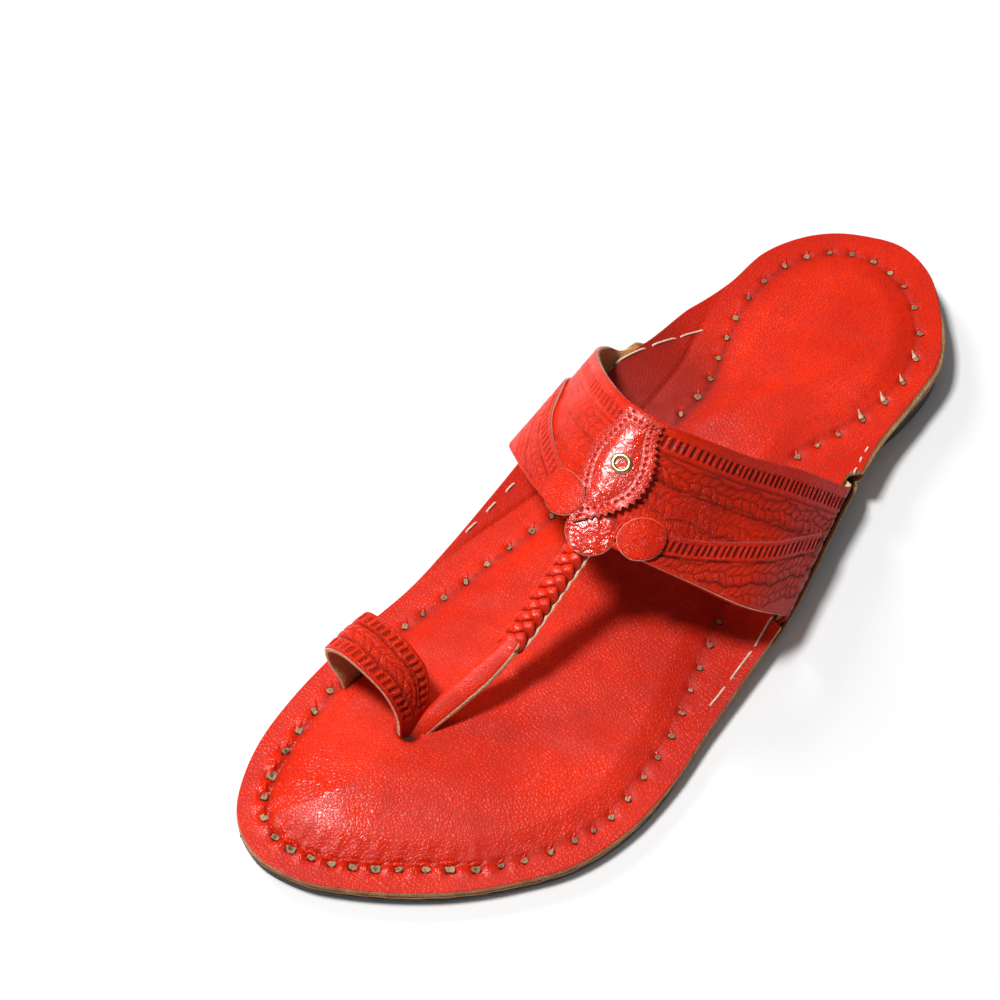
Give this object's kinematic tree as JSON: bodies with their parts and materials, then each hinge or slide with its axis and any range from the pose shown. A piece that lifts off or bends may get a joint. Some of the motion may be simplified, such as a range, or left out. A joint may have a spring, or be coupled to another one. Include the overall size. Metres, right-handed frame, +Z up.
{
  "type": "kolhapuri sandal",
  "caption": "Flat left leather sandal with a toe loop, plaited thong, broad stamped instep band held between side flaps, laced insole, rubber outsole and low heel.",
  "frame": {"origin": "on the floor, below the middle of the sandal's length and breadth", "axes": "+Z up, toe towards -Y, heel towards +Y, lateral side +X, medial side -X"},
  "size_m": [0.0978, 0.2644, 0.052],
  "materials": {
    "red_leather": "satin, fine grain",
    "glazed_leather": "glazed",
    "raw_leather": "raw cut edge",
    "black_rubber": "matte",
    "brass": "polished"
  },
  "bodies": {
    "root": {"outsole": "black_rubber", "heel": "black_rubber", "midsole": "raw_leather", "insole": "red_leather", "ear_lateral": "raw_leather", "ear_medial": "raw_leather", "upper": "red_leather", "front_strip_lateral": "red_leather", "front_strip_medial": "red_leather", "disc_lateral": "glazed_leather", "disc_medial": "glazed_leather", "leaf": "glazed_leather", "eyelet": "brass"}
  },
  "joints": []
}
